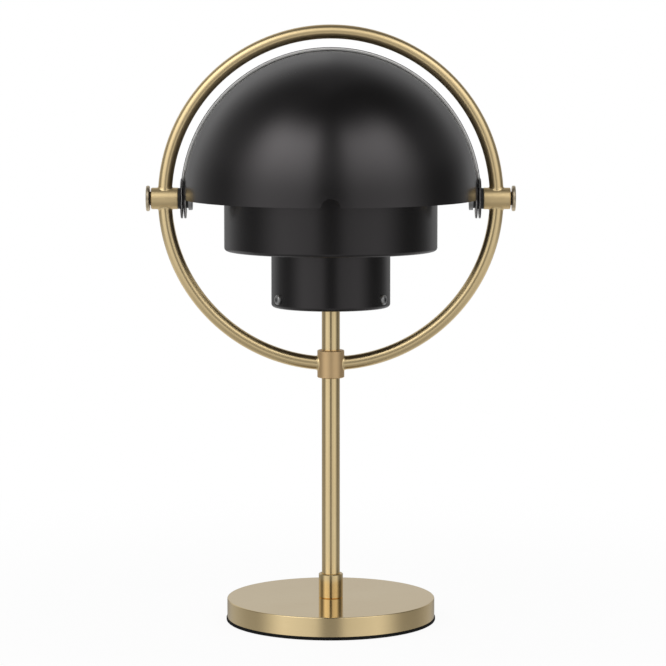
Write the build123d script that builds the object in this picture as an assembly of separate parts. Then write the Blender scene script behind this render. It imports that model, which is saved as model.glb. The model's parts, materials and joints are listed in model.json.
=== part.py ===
from build123d import *
import os
from math import asin, cos, degrees, radians, sin, sqrt

# Portable table lamp: a weighted round base, a slim stem, an upright ring, two quarter-sphere
# shades that swing on pivots at the sides of the ring, and a stepped drum that holds the light.
# Millimetres, +Z up, front towards -Y, origin under the stem on the standing surface.

# Base
base_diameter = 120.0
base_height = 11.0  # brass shell without the foot pad
base_wall = 2.0
base_top_wall = 2.0
base_edge_round = 0.5
foot_thickness = 1.9
foot_overhang = 0.5  # foot pad beyond the shell, all round
foot_round = 0.6

# Inside the base
plate_thickness = 1.5
plate_clearance = 0.15  # plate edge to shell wall
ballast_width = 9.5
ballast_clearance = 0.3  # ballast to shell wall and to ceiling
boss_radius = 4.0
boss_gap = 1.5  # boss to ballast
boss_angle = 20.0  # from the X axis
plate_screw_diameter = 3.0
plate_screw_head_diameter = 5.4
plate_screw_head_height = 1.2
plate_screw_depth = 4.5  # thread in the boss
battery_gap = 1.5  # battery to the collar nut and to the board
battery_front_gap = 11.0  # battery to the ballast, at the middle
battery_side_gap = 1.0  # battery corner to the ballast
battery_headroom = 1.8
battery_corner = 2.0
battery_lead_diameter = 1.4
battery_lead_spacing = 4.0
battery_lead_landing = 5.0  # lead lying on the board
board_thickness = 1.0
board_pad_height = 0.3
board_pad_radius = 2.0
board_pad_inset = 4.0
board_side_gap = 8.0  # board to boss
board_edge_gap = 1.0  # board corner to shell wall
board_tongue_width = 16.0
chip_sizes = [(6.0, 6.0, 0.9), (5.0, 5.0, 1.8), (3.6, 2.0, 0.7)]
chip_spacing = 9.0

# Charging socket and dimmer button in the rear of the base wall
socket_width = 8.9
socket_height = 3.2
socket_depth = 7.3
socket_wall = 0.3
socket_back_wall = 1.2
socket_recess = 0.5  # mouth behind the wall's outer face
socket_tongue_width = 6.6
socket_tongue_thickness = 0.7
socket_clearance = 0.15
button_diameter = 5.0
button_flange_diameter = 6.2
button_flange_thickness = 1.0
button_proud = 1.0
button_travel = 0.6
button_play = 0.15  # flange to wall at rest
button_clearance = 0.06
button_dome = 0.4  # rounding of the button's face
button_angle = 24.0  # from the rear, round the base
switch_size = 5.0
switch_depth = 3.5
switch_gap = 0.25  # left in front of the switch with the button fully pressed

# Stem
stem_diameter = 10.4
stem_wall = 1.5
base_collar_diameter = 14.0
base_collar_height = 14.0
base_collar_floor = 1.0  # stem end above the base
base_collar_recess = 0.6
spigot_diameter = 11.0
collar_nut_flats = 16.0
collar_nut_thickness = 2.0
thread_tail = 0.3  # thread showing past a nut
cable_diameter = 3.2
connector_width = 9.0
connector_length = 6.0
connector_gap = 0.2

# Ring
ring_lift = 136.2  # base top to the ring's lowest centreline
ring_tube_diameter = 8.0
ring_tube_wall = 1.5
ring_gap = 4.8  # ring to the rear shade
ring_collar_diameter = 15.5
ring_collar_height = 15.8
ring_collar_gap = 1.1  # collar's top to the shades that swing over it
edge_chamfer = 0.4
grub_diameter = 3.0
grub_socket_flats = 1.5
grub_socket_depth = 1.2
grub_inset = 0.3

# Pivots
block_diameter = 12.3
block_length = 15.5
stud_diameter = 5.0
stud_head_diameter = 13.4
stud_head_thickness = 2.2
stud_socket_flats = 4.0
stud_socket_depth = 1.2
stud_tip_gap = 0.2
knob_diameter = 14.6
knob_thickness = 1.9
knob_face = 0.6  # metal left in front of the blind thread
knob_washer_diameter = 7.8
knob_washer_thickness = 0.9
spacer_diameter = 12.0
friction_washer_diameter = 12.0
inner_washer_diameter = 11.0
inner_washer_thickness = 1.4

# Shades: the rear one is the larger, so that the front one swings inside it
shade_radius = 86.0  # outside of the rear shade
shade_sheet = 0.9
shade_gap = 1.1  # front shade to rear shade
shade_lap = 1.2  # each edge past the plane through the pivots
ear_radius = 11.4
ear_inset = 0.45  # ear's outer face within the shade's radius
ear_root = 1.0  # shell carried in behind the ear's edge
notch_radius = 5.6
notch_depth = 5.0

# Stepped drum in the middle
cup_diameter = 68.2
drum_diameter = 122.0
core_half_height = 62.1  # from the pivot height to the ends of the cups
drum_half_height = 29.8
core_sheet = 1.0
core_corner_radius = 2.0
drum_lip = 6.0
cup_top_lip = 5.0
lens_thickness = 2.0
lens_recess = 1.2  # upper ring lens below the drum's edge
hub_thickness = 9.0
hub_nut_flats = 14.0
hub_nut_thickness = 5.0
standoff_diameter = 7.0
standoff_circle = 20.0
hub_standoff_height = 14.0
standoff_count = 3
driver_board_gap = 3.0  # board edge to cup wall
driver_chip_size = 7.0
driver_chip_height = 3.0
driver_chip_circle = 13.0
carrier_thickness = 3.0
carrier_bore = 12.0
led_board_thickness = 1.2
led_board_gap = 2.0  # ring board to cup and to drum
led_size = 3.5
led_height = 0.8
led_count = 12
top_led_count = 6
top_led_circle = 9.0
top_led_room = 7.0  # top lamp board to the lens above it
bracket_thickness = 7.0
post_diameter = 5.0
post_count = 3
led_cable_diameter = 2.6

# Cup screws
cup_screw_count = 3
cup_screw_first_angle = 90.0  # the one at the rear
cup_screw_height = 5.4  # above the lower cup's bottom
cup_screw_diameter = 3.0
cup_screw_length = 8.0
cup_screw_head_diameter = 5.6
cup_screw_head_height = 1.7
cup_screw_socket_flats = 2.0
cup_screw_socket_depth = 1.0

# Clearances that fits share
fit_clearance = 0.05  # radial, shafts and threads in their holes
axial_play = 0.05  # washers to the ears that turn beside them
seat_clearance = 0.15  # loose discs and lenses in their shells

# Heights
foot_top = foot_thickness
base_top = foot_top + base_height
base_ceiling = base_top - base_top_wall
plate_top = foot_top + plate_thickness
board_bottom = plate_top + board_pad_height
board_top = board_bottom + board_thickness
port_height = board_top + socket_height / 2
button_height = (plate_top + base_ceiling) / 2
base_collar_top = base_top + base_collar_height
stem_seat = base_top + base_collar_floor
spigot_end = base_ceiling - collar_nut_thickness - thread_tail
connector_top = spigot_end - connector_gap

# Radii in the base
base_radius = base_diameter / 2
base_inner = base_radius - base_wall
foot_radius = base_radius + foot_overhang
plate_radius = base_inner - plate_clearance
ballast_outer = base_inner - ballast_clearance
ballast_inner = ballast_outer - ballast_width
boss_circle = ballast_inner - boss_gap - boss_radius
boss_x = boss_circle * cos(radians(boss_angle))
boss_y = boss_circle * sin(radians(boss_angle))
boss_places = [(sx * boss_x, sy * boss_y) for sx in (-1, 1) for sy in (-1, 1)]
collar_nut_corner = collar_nut_flats / 2 / cos(radians(30))

# Layout of board and battery
battery_near = collar_nut_corner + battery_gap
battery_far = ballast_inner - battery_front_gap
battery_length = 2 * sqrt((ballast_inner - battery_side_gap) ** 2 - battery_far**2)
board_half_width = boss_x - boss_radius - board_side_gap
board_front = -battery_near + battery_gap
board_rear = sqrt((base_inner - board_edge_gap) ** 2 - board_half_width**2)
board_tongue_end = sqrt((base_inner - board_edge_gap) ** 2 - (board_tongue_width / 2) ** 2)

# Ring, pivot and shade places
stem_radius = stem_diameter / 2
stem_bore = stem_radius - stem_wall
ring_tube_radius = ring_tube_diameter / 2
ring_radius = shade_radius + ring_gap + ring_tube_radius
ring_bottom = base_top + ring_lift
ring_height = ring_bottom + ring_radius
pivot_height = ring_height
ring_collar_top = pivot_height - shade_radius - ring_collar_gap
ring_collar_bottom = ring_collar_top - ring_collar_height
ring_collar_middle = (ring_collar_bottom + ring_collar_top) / 2
stud_radius = stud_diameter / 2
stud_hole = stud_radius + fit_clearance
front_shade_radius = shade_radius - shade_sheet - shade_gap


def ear_faces(radius):
    """Inner and outer distance of a shade's flat ears from the lamp's middle plane."""
    outer = radius - ear_inset
    return outer - shade_sheet, outer


front_ear_inner, front_ear_outer = ear_faces(front_shade_radius)
rear_ear_inner, rear_ear_outer = ear_faces(shade_radius)
block_inner = ring_radius - block_length / 2
block_outer = ring_radius + block_length / 2
knob_inner = block_outer + knob_washer_thickness + axial_play
knob_outer = knob_inner + knob_thickness
stud_tip = knob_outer - knob_face - stud_tip_gap
inner_washer_outer = front_ear_inner - axial_play
stud_head_outer = inner_washer_outer - inner_washer_thickness
stud_head_inner = stud_head_outer - stud_head_thickness

# Drum, cups and what they hold, from the bottom up
cup_radius = cup_diameter / 2
cup_inner = cup_radius - core_sheet
drum_radius = drum_diameter / 2
drum_inner = drum_radius - core_sheet
core_bottom = pivot_height - core_half_height
core_top = pivot_height + core_half_height
drum_bottom = pivot_height - drum_half_height
drum_top = pivot_height + drum_half_height
hub_bottom = core_bottom + core_sheet
hub_top = hub_bottom + hub_thickness
hub_radius = cup_inner - fit_clearance
stem_top = hub_top + hub_nut_thickness + thread_tail
driver_bottom = hub_top + hub_standoff_height
driver_top = driver_bottom + board_thickness
carrier_bottom = pivot_height - carrier_thickness / 2
carrier_top = carrier_bottom + carrier_thickness
carrier_radius = drum_inner - fit_clearance
lower_led_bottom = carrier_bottom - led_board_thickness
upper_led_top = carrier_top + led_board_thickness
led_board_inner = cup_radius + led_board_gap
led_board_outer = drum_inner - led_board_gap
led_circle = (led_board_inner + led_board_outer) / 2
upper_lens_top = drum_top - lens_recess
upper_lens_bottom = upper_lens_top - lens_thickness
lower_lens_bottom = drum_bottom + core_sheet
lower_lens_top = lower_lens_bottom + lens_thickness
post_circle = led_board_outer - post_diameter
top_lens_top = core_top - core_sheet
top_lens_bottom = top_lens_top - lens_thickness
top_board_top = top_lens_bottom - top_led_room
bracket_top = top_board_top - led_board_thickness
bracket_bottom = bracket_top - bracket_thickness
top_board_radius = standoff_circle - cup_screw_head_diameter / 2 - seat_clearance
upper_screw_height = (bracket_bottom + bracket_top) / 2
lower_screw_height = core_bottom + cup_screw_height

LOW = (Align.CENTER, Align.CENTER, Align.MIN)


def rod(radius, bottom, top):
    """Solid cylinder on the Z axis between two heights."""
    return Pos(0, 0, bottom) * Cylinder(radius, top - bottom, align=LOW)


def sleeve(outer, inner, bottom, top):
    """Tube on the Z axis between two heights."""
    return rod(outer, bottom, top) - rod(inner, bottom, top)


def rod_y(radius, near, far, height):
    """Solid cylinder along Y at a height, between two distances from the stem's axis."""
    return Pos(0, near, height) * Rot(-90, 0, 0) * rod(radius, 0, far - near)


def rod_x(radius, near, far):
    """Solid cylinder on the pivot axis between two distances from the lamp's middle."""
    return Pos(0, 0, pivot_height) * Rot(0, 90, 0) * rod(radius, near, far)


def hexagon(across_flats, bottom, top):
    """Hexagonal prism on the Z axis between two heights."""
    outline = RegularPolygon(across_flats / 2, 6, major_radius=False)
    return Pos(0, 0, bottom) * extrude(outline, top - bottom)


def plate(length, width, thickness, corner):
    """Flat plate with rounded corners, standing on the XY plane."""
    return extrude(RectangleRounded(length, width, corner), thickness)


def round_ends(solid, radius, axis=Axis.Z, which=(0, -1)):
    """Round the circular edges at the chosen ends of a solid along an axis."""
    groups = solid.edges().filter_by(GeomType.CIRCLE).group_by(axis)
    picked = [edge for end in which for edge in groups[end]]
    return fillet(picked, radius)


def chamfer_ends(solid, length, axis=Axis.Z, which=(0, -1)):
    """Chamfer the circular edges at the chosen ends of a solid along an axis."""
    groups = solid.edges().filter_by(GeomType.CIRCLE).group_by(axis)
    picked = [edge for end in which for edge in groups[end]]
    return chamfer(picked, length)


def around(piece, count, first_angle=0.0):
    """Copies of a piece spaced evenly round the Z axis."""
    step = 360.0 / count
    return [Rot(0, 0, first_angle + i * step) * piece for i in range(count)]


def behind(piece):
    """Turn a piece built on the rear side round the base to the button's place."""
    return Rot(0, 0, -button_angle) * piece


def on_left(piece):
    """Copy of a right-hand pivot piece at the left-hand pivot."""
    return Rot(0, 0, 180) * piece


def group(pieces):
    """Separate solids kept together as one node."""
    return Compound([piece.solid() for piece in pieces])


# Base pieces


def make_foot_pad():
    pad = rod(foot_radius, 0, foot_top)
    return round_ends(pad, min(foot_round, 0.4 * foot_thickness))


def make_base_shell():
    shell = round_ends(rod(base_radius, foot_top, base_top), base_edge_round, which=(-1,))
    shell -= rod(base_inner, foot_top, base_ceiling)
    for x, y in boss_places:
        boss = rod(boss_radius, plate_top, base_ceiling)
        thread = rod(plate_screw_diameter / 2 + fit_clearance, plate_top, plate_top + plate_screw_depth)
        shell += Pos(x, y, 0) * boss
        shell -= Pos(x, y, 0) * thread
    shell -= rod(spigot_diameter / 2 + fit_clearance, base_ceiling, base_top)
    shell -= socket_prism(socket_clearance, base_inner - base_wall, base_radius + foot_overhang)
    button_hole = button_diameter / 2 + button_clearance
    shell -= behind(rod_y(button_hole, base_inner - base_wall, base_radius + base_wall, button_height))
    return shell


def make_base_plate():
    disc = rod(plate_radius, foot_top, plate_top)
    for x, y in board_pad_places():
        disc += Pos(x, y, 0) * rod(board_pad_radius, plate_top, board_bottom)
    for x, y in boss_places:
        disc -= Pos(x, y, 0) * plate_screw(fit_clearance)
    return disc


def board_pad_places():
    side = board_half_width - board_pad_inset
    ends = (board_front + board_pad_inset, board_rear - board_pad_inset)
    return [(sx * side, y) for sx in (-1, 1) for y in ends]


def plate_screw(grow=0.0):
    """Countersunk screw from below the plate, or with grow the hole that takes it."""
    head_radius = plate_screw_head_diameter / 2 + grow
    shank_radius = plate_screw_diameter / 2 + grow
    head_top = foot_top + plate_screw_head_height
    head = Pos(0, 0, foot_top) * Cone(head_radius, shank_radius, plate_screw_head_height, align=LOW)
    return head + rod(shank_radius, head_top, plate_top + plate_screw_depth - thread_tail)


def make_plate_screws():
    return group([Pos(x, y, 0) * plate_screw() for x, y in boss_places])


def make_ballast():
    ring = sleeve(ballast_outer, ballast_inner, plate_top, base_ceiling - ballast_clearance)
    opening_width = 2 * (board_half_width + board_pad_radius)
    opening = Box(opening_width, base_diameter, base_height, align=(Align.CENTER, Align.MIN, Align.MIN))
    return ring - Pos(0, 0, plate_top) * opening


def make_battery():
    width = battery_far - battery_near
    height = base_ceiling - battery_headroom - plate_top
    middle = -(battery_near + battery_far) / 2
    cell = plate(battery_length, width, height, min(battery_corner, width / 3))
    return Pos(0, middle, plate_top) * cell


def make_battery_leads():
    start = -battery_near
    end = board_front + battery_lead_landing
    radius = battery_lead_diameter / 2
    lead = rod_y(radius, start, end, board_top + radius)
    return group([Pos(side * battery_lead_spacing / 2 + connector_length, 0, 0) * lead for side in (-1, 1)])


def make_control_board():
    length = board_rear - board_front
    middle = (board_rear + board_front) / 2
    board = Pos(0, middle, board_bottom) * Box(2 * board_half_width, length, board_thickness, align=LOW)
    tongue_length = board_tongue_end - middle
    tongue = Box(board_tongue_width, tongue_length, board_thickness, align=(Align.CENTER, Align.MIN, Align.MIN))
    board += Pos(0, middle, board_bottom) * tongue
    for i, (length, width, height) in enumerate(chip_sizes):
        x = (i - 1) * chip_spacing
        board += Pos(x, middle + chip_spacing / 2, board_top) * Box(length, width, height, align=LOW)
    return board


def socket_prism(grow, near, far):
    """Outline of the charging socket along Y, grown all round."""
    width = socket_width + 2 * grow
    height = socket_height + 2 * grow
    outline = plate(width, height, far - near, 0.45 * height)
    return Pos(0, far, port_height) * Rot(90, 0, 0) * outline


def make_charge_socket():
    mouth = base_radius - socket_recess
    back = mouth - socket_depth
    socket = socket_prism(0, back, mouth)
    socket -= socket_prism(-socket_wall, back + socket_back_wall, mouth)
    tongue_length = socket_depth - socket_back_wall - socket_recess
    tongue = Box(socket_tongue_width, tongue_length, socket_tongue_thickness,
                 align=(Align.CENTER, Align.MIN, Align.CENTER))
    return socket + Pos(0, back + socket_back_wall, port_height) * tongue


def button_flange_front():
    return base_inner - button_play


def make_dimmer_button():
    flange_front = button_flange_front()
    flange_back = flange_front - button_flange_thickness
    flange = rod_y(button_flange_diameter / 2, flange_back, flange_front, button_height)
    cap = rod_y(button_diameter / 2, flange_front, base_radius + button_proud, button_height)
    cap = round_ends(cap, button_dome, axis=Axis.Y, which=(-1,))
    return behind(flange + cap)


def make_button_switch():
    front = button_flange_front() - button_flange_thickness - button_travel - switch_gap
    body = Box(switch_size, switch_depth, 2 * (button_height - board_top),
               align=(Align.CENTER, Align.MAX, Align.CENTER))
    return behind(Pos(0, front, button_height) * body)


# Stem pieces


def make_base_collar():
    collar_radius = base_collar_diameter / 2
    collar = chamfer_ends(rod(collar_radius, base_top, base_collar_top), edge_chamfer)
    collar += rod(spigot_diameter / 2, spigot_end, base_top)
    collar -= rod(stem_radius + fit_clearance, stem_seat, base_collar_top)
    collar -= rod(stem_bore, spigot_end, stem_seat)
    recess = Cone(stem_radius + fit_clearance, stem_radius + base_collar_recess, base_collar_recess, align=LOW)
    return collar - Pos(0, 0, base_collar_top - base_collar_recess) * recess


def make_collar_nut():
    nut = hexagon(collar_nut_flats, base_ceiling - collar_nut_thickness, base_ceiling)
    return nut - rod(spigot_diameter / 2 + fit_clearance, foot_top, base_ceiling)


def make_stem_tube():
    return sleeve(stem_radius, stem_bore, stem_seat, stem_top)


def make_stem_cable():
    return rod(cable_diameter / 2, connector_top, driver_bottom)


def make_stem_connector():
    height = connector_top - board_top
    return Pos(0, 0, board_top) * Box(connector_width, connector_length, height, align=LOW)


# Ring pieces


def make_ring_collar():
    collar = rod(ring_collar_diameter / 2, ring_collar_bottom, ring_collar_top)
    collar = chamfer_ends(collar, edge_chamfer)
    collar -= rod(stem_radius + fit_clearance, ring_collar_bottom, ring_collar_top)
    return collar - rod_y(grub_diameter / 2 + fit_clearance, 0, ring_collar_diameter, ring_collar_middle)


def make_collar_grub():
    tip = stem_radius + fit_clearance
    outer = ring_collar_diameter / 2 - grub_inset
    socket_bottom = outer - min(grub_socket_depth, (outer - tip) / 2)
    socket = hexagon(grub_socket_flats, 0, outer - socket_bottom)
    grub = rod_y(grub_diameter / 2, tip, outer, ring_collar_middle)
    return grub - Pos(0, outer, ring_collar_middle) * Rot(90, 0, 0) * socket


def ring_tube():
    """The whole ring as one tube, with the pivot blocks and the collar cut out of it."""
    tube = Torus(ring_radius, ring_tube_radius) - Torus(ring_radius, ring_tube_radius - ring_tube_wall)
    tube = Pos(0, 0, ring_height) * Rot(90, 0, 0) * tube
    right_block = rod_x(block_diameter / 2, block_inner, block_outer)
    collar = rod(ring_collar_diameter / 2, ring_collar_bottom, ring_collar_top)
    return tube - right_block - on_left(right_block) - collar


def make_ring_arcs():
    """Upper arc over both pivots, and the two lower arcs from pivot to collar."""
    pieces = ring_tube().solids().sort_by(Axis.Z)
    lower = sorted(pieces[:2], key=lambda piece: piece.center().X)
    return pieces[2], lower[0], lower[1]


# Pivot pieces, made at the right-hand pivot


def make_pivot_block():
    block = chamfer_ends(rod_x(block_diameter / 2, block_inner, block_outer), edge_chamfer, axis=Axis.X)
    return block - rod_x(stud_hole, block_inner, block_outer)


def make_pivot_stud():
    head = rod_x(stud_head_diameter / 2, stud_head_inner, stud_head_outer)
    head = round_ends(head, edge_chamfer, axis=Axis.X, which=(0,))
    stud = head + rod_x(stud_radius, stud_head_outer, stud_tip)
    socket = hexagon(stud_socket_flats, stud_head_inner, stud_head_inner + stud_socket_depth)
    return stud - Pos(0, 0, pivot_height) * Rot(0, 90, 0) * socket


def make_tension_knob():
    knob = chamfer_ends(rod_x(knob_diameter / 2, knob_inner, knob_outer), edge_chamfer, axis=Axis.X)
    return knob - rod_x(stud_hole, knob_inner, knob_outer - knob_face)


def washer_x(diameter, near, far):
    """Washer on a pivot stud between two distances from the lamp's middle."""
    return rod_x(diameter / 2, near, far) - rod_x(stud_hole, near, far)


def make_knob_washer():
    return washer_x(knob_washer_diameter, block_outer, block_outer + knob_washer_thickness)


def make_pivot_spacer():
    return washer_x(spacer_diameter, rear_ear_outer + axial_play, block_inner)


def make_friction_washer():
    return washer_x(friction_washer_diameter, front_ear_outer + axial_play, rear_ear_inner - axial_play)


def make_inner_washer():
    return washer_x(inner_washer_diameter, stud_head_outer, inner_washer_outer)


# Shades


def make_shade(radius):
    """Quarter-sphere shade over the front: shell, flat round ears on the pivots, rim notch."""
    inner = radius - shade_sheet
    ear_inner, ear_outer = ear_faces(radius)
    root = ear_radius - ear_root
    outer_end = sqrt(radius**2 - root**2)
    inner_end = sqrt(inner**2 - root**2)
    outer_start = degrees(asin(root / radius))
    inner_start = degrees(asin(root / inner))
    outline = [
        CenterArc((0, 0), radius, outer_start, 180 - 2 * outer_start),
        CenterArc((0, 0), inner, inner_start, 180 - 2 * inner_start),
        Line((inner_end, root), (outer_end, root)),
        Line((-inner_end, root), (-outer_end, root)),
    ]
    lap = degrees(asin(shade_lap / radius))
    section = Rot(90 - lap, 0, 0) * make_face(outline)
    shell = revolve(section, Axis.X, 90 + 2 * lap)
    ear = Rot(0, 90, 0) * rod(ear_radius, ear_inner, ear_outer)
    hole = Rot(0, 90, 0) * rod(stud_hole, ear_inner, ear_outer)
    shell += ear + on_left(ear)
    shell -= hole + on_left(hole)
    notch = rod_y(notch_radius, -radius - shade_sheet, -radius / 2, notch_depth - notch_radius - shade_lap)
    shell -= notch
    return Pos(0, 0, pivot_height) * shell


def make_front_shade():
    return make_shade(front_shade_radius)


def make_rear_shade():
    return Rot(0, 0, 180) * make_shade(shade_radius)


# Stepped drum and what it holds


def cup_screw_places(height):
    """Places on the cup wall where a screw seats, its axis pointing out of the cup."""
    angles = [cup_screw_first_angle + i * 360.0 / cup_screw_count for i in range(cup_screw_count)]
    return [Rot(0, 0, a) * Pos(cup_radius, 0, height) * Rot(0, 90, 0) for a in angles]


def cup_screw():
    """Button-head screw on Z, seated at zero with the head above."""
    head = rod(cup_screw_head_diameter / 2, 0, cup_screw_head_height)
    head = round_ends(head, 0.6 * cup_screw_head_height, which=(-1,))
    screw = head + rod(cup_screw_diameter / 2, -cup_screw_length, 0)
    socket_bottom = cup_screw_head_height - cup_screw_socket_depth
    return screw - hexagon(cup_screw_socket_flats, socket_bottom, cup_screw_head_height)


def make_cup_screws(height):
    return group([place * cup_screw() for place in cup_screw_places(height)])


def drill_for_cup_screws(solid, height):
    hole = rod(cup_screw_diameter / 2 + fit_clearance, -cup_screw_length - thread_tail, core_sheet)
    for place in cup_screw_places(height):
        solid -= place * hole
    return solid


def pan(radius, bottom, top, hole_radius):
    """Drawn pan on the Z axis, open at the top, with a round hole in its floor."""
    outer = round_ends(rod(radius, bottom, top), core_corner_radius, which=(0,))
    inner_round = max(core_corner_radius - core_sheet, core_sheet / 2)
    inner = round_ends(rod(radius - core_sheet, bottom + core_sheet, top), inner_round, which=(0,))
    return outer - inner - rod(hole_radius, bottom, bottom + core_sheet)


def make_lower_cup():
    cup = pan(cup_radius, core_bottom, carrier_bottom, stem_radius + seat_clearance)
    return drill_for_cup_screws(cup, lower_screw_height)


def make_upper_cup():
    height = core_top - carrier_top
    cup = pan(cup_radius, 0, height, cup_inner - cup_top_lip)
    cup = Pos(0, 0, core_top) * Rot(180, 0, 0) * cup
    return drill_for_cup_screws(cup, upper_screw_height)


def make_drum():
    return pan(drum_radius, drum_bottom, drum_top, drum_inner - drum_lip)


def make_stem_hub():
    hub = rod(hub_radius, hub_bottom, hub_top)
    hub = chamfer_ends(hub, core_corner_radius - core_sheet + fit_clearance, which=(0,))
    hub -= rod(stem_radius + fit_clearance, hub_bottom, hub_top)
    return drill_for_cup_screws(hub, lower_screw_height)


def make_hub_nut():
    nut = hexagon(hub_nut_flats, hub_top, hub_top + hub_nut_thickness)
    return nut - rod(stem_radius + fit_clearance, hub_top, hub_top + hub_nut_thickness)


def make_standoffs(bottom, top):
    post = Pos(standoff_circle, 0, 0) * hexagon(standoff_diameter, bottom, top)
    return group(around(post, standoff_count, cup_screw_first_angle + 60.0))


def make_driver_board():
    board = rod(cup_inner - driver_board_gap, driver_bottom, driver_top)
    chip = Box(driver_chip_size, driver_chip_size, driver_chip_height, align=LOW)
    chip = Pos(driver_chip_circle, 0, driver_top) * chip
    for piece in around(chip, standoff_count, cup_screw_first_angle):
        board += piece
    return board


def make_carrier_plate():
    return sleeve(carrier_radius, carrier_bore / 2, carrier_bottom, carrier_top)


def make_led_board(bottom, top):
    return sleeve(led_board_outer, led_board_inner, bottom, top)


def make_leds(bottom, count, circle):
    lamp = Pos(circle, 0, bottom) * Box(led_size, led_size, led_height, align=LOW)
    return group(around(lamp, count))


def make_ring_lens(bottom, top, inner_radius):
    return sleeve(drum_inner - seat_clearance, inner_radius, bottom, top)


def make_lower_ring_lens():
    lens = make_ring_lens(lower_lens_bottom, lower_lens_top, cup_radius + seat_clearance)
    return chamfer_ends(lens, core_corner_radius - core_sheet, which=(0,))


def make_upper_ring_lens():
    return make_ring_lens(upper_lens_bottom, upper_lens_top, cup_radius + seat_clearance)


def make_lens_posts():
    post = Pos(post_circle, 0, 0) * rod(post_diameter / 2, upper_led_top, upper_lens_bottom)
    return group(around(post, post_count, 180.0 / led_count))


def make_upper_bracket():
    bracket = rod(hub_radius, bracket_bottom, bracket_top)
    bracket -= rod(carrier_bore / 2, bracket_bottom, bracket_top)
    for hole in bracket_screw_places(cup_screw_diameter / 2 + fit_clearance):
        bracket -= hole
    return drill_for_cup_screws(bracket, upper_screw_height)


def bracket_screw_places(radius):
    """Holes, or with the screw's own radius the shanks, that reach the standoffs' tops."""
    shank = Pos(standoff_circle, 0, 0) * rod(radius, bracket_bottom, bracket_top)
    return around(shank, standoff_count, cup_screw_first_angle + 60.0)


def make_bracket_screws():
    head = rod(cup_screw_head_diameter / 2, bracket_top, bracket_top + cup_screw_head_height)
    head = Pos(standoff_circle, 0, 0) * round_ends(head, edge_chamfer, which=(-1,))
    heads = around(head, standoff_count, cup_screw_first_angle + 60.0)
    shanks = bracket_screw_places(cup_screw_diameter / 2)
    return group([one + other for one, other in zip(heads, shanks)])


def make_top_led_board():
    return rod(top_board_radius, bracket_top, top_board_top)


def make_top_lens():
    lens = rod(cup_inner - seat_clearance, top_lens_bottom, top_lens_top)
    return chamfer_ends(lens, core_corner_radius - core_sheet, which=(-1,))


def make_led_cable():
    return rod(led_cable_diameter / 2, driver_top, bracket_top)


ring_upper_arc, ring_left_arc, ring_right_arc = make_ring_arcs()

nodes = {
    "foot_pad": make_foot_pad(),
    "base_shell": make_base_shell(),
    "base_plate": make_base_plate(),
    "plate_screws": make_plate_screws(),
    "ballast_ring": make_ballast(),
    "battery_pack": make_battery(),
    "battery_leads": make_battery_leads(),
    "control_board": make_control_board(),
    "charge_socket": make_charge_socket(),
    "dimmer_button": make_dimmer_button(),
    "button_switch": make_button_switch(),
    "base_collar": make_base_collar(),
    "collar_nut": make_collar_nut(),
    "stem_tube": make_stem_tube(),
    "stem_cable": make_stem_cable(),
    "stem_connector": make_stem_connector(),
    "ring_collar": make_ring_collar(),
    "collar_grub_screw": make_collar_grub(),
    "ring_upper_arc": ring_upper_arc,
    "ring_left_arc": ring_left_arc,
    "ring_right_arc": ring_right_arc,
    "front_shade": make_front_shade(),
    "rear_shade": make_rear_shade(),
    "lower_cup": make_lower_cup(),
    "lower_cup_screws": make_cup_screws(lower_screw_height),
    "stem_hub": make_stem_hub(),
    "hub_nut": make_hub_nut(),
    "hub_standoffs": make_standoffs(hub_top, driver_bottom),
    "driver_board": make_driver_board(),
    "core_standoffs": make_standoffs(driver_top, carrier_bottom),
    "carrier_plate": make_carrier_plate(),
    "drum": make_drum(),
    "lower_led_board": make_led_board(lower_led_bottom, carrier_bottom),
    "lower_leds": make_leds(lower_led_bottom - led_height, led_count, led_circle),
    "lower_ring_lens": make_lower_ring_lens(),
    "upper_led_board": make_led_board(carrier_top, upper_led_top),
    "upper_leds": make_leds(upper_led_top, led_count, led_circle),
    "lens_posts": make_lens_posts(),
    "upper_ring_lens": make_upper_ring_lens(),
    "upper_cup": make_upper_cup(),
    "upper_cup_screws": make_cup_screws(upper_screw_height),
    "upper_standoffs": make_standoffs(carrier_top, bracket_bottom),
    "upper_bracket": make_upper_bracket(),
    "bracket_screws": make_bracket_screws(),
    "top_led_board": make_top_led_board(),
    "top_leds": make_leds(top_board_top, top_led_count, top_led_circle),
    "top_lens": make_top_lens(),
    "led_cable": make_led_cable(),
}

pivot_pieces = {
    "pivot_block": make_pivot_block(),
    "pivot_stud": make_pivot_stud(),
    "tension_knob": make_tension_knob(),
}
for name, piece in pivot_pieces.items():
    nodes["right_" + name] = piece
    nodes["left_" + name] = on_left(piece)

pivot_washers = {
    "knob_washers": make_knob_washer(),
    "pivot_spacers": make_pivot_spacer(),
    "friction_washers": make_friction_washer(),
    "inner_washers": make_inner_washer(),
}
for name, piece in pivot_washers.items():
    nodes[name] = group([piece, on_left(piece)])

os.makedirs("parts", exist_ok=True)
for name, piece in nodes.items():
    export_step(piece, f"parts/{name}.step")
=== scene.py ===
import json
import math

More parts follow.
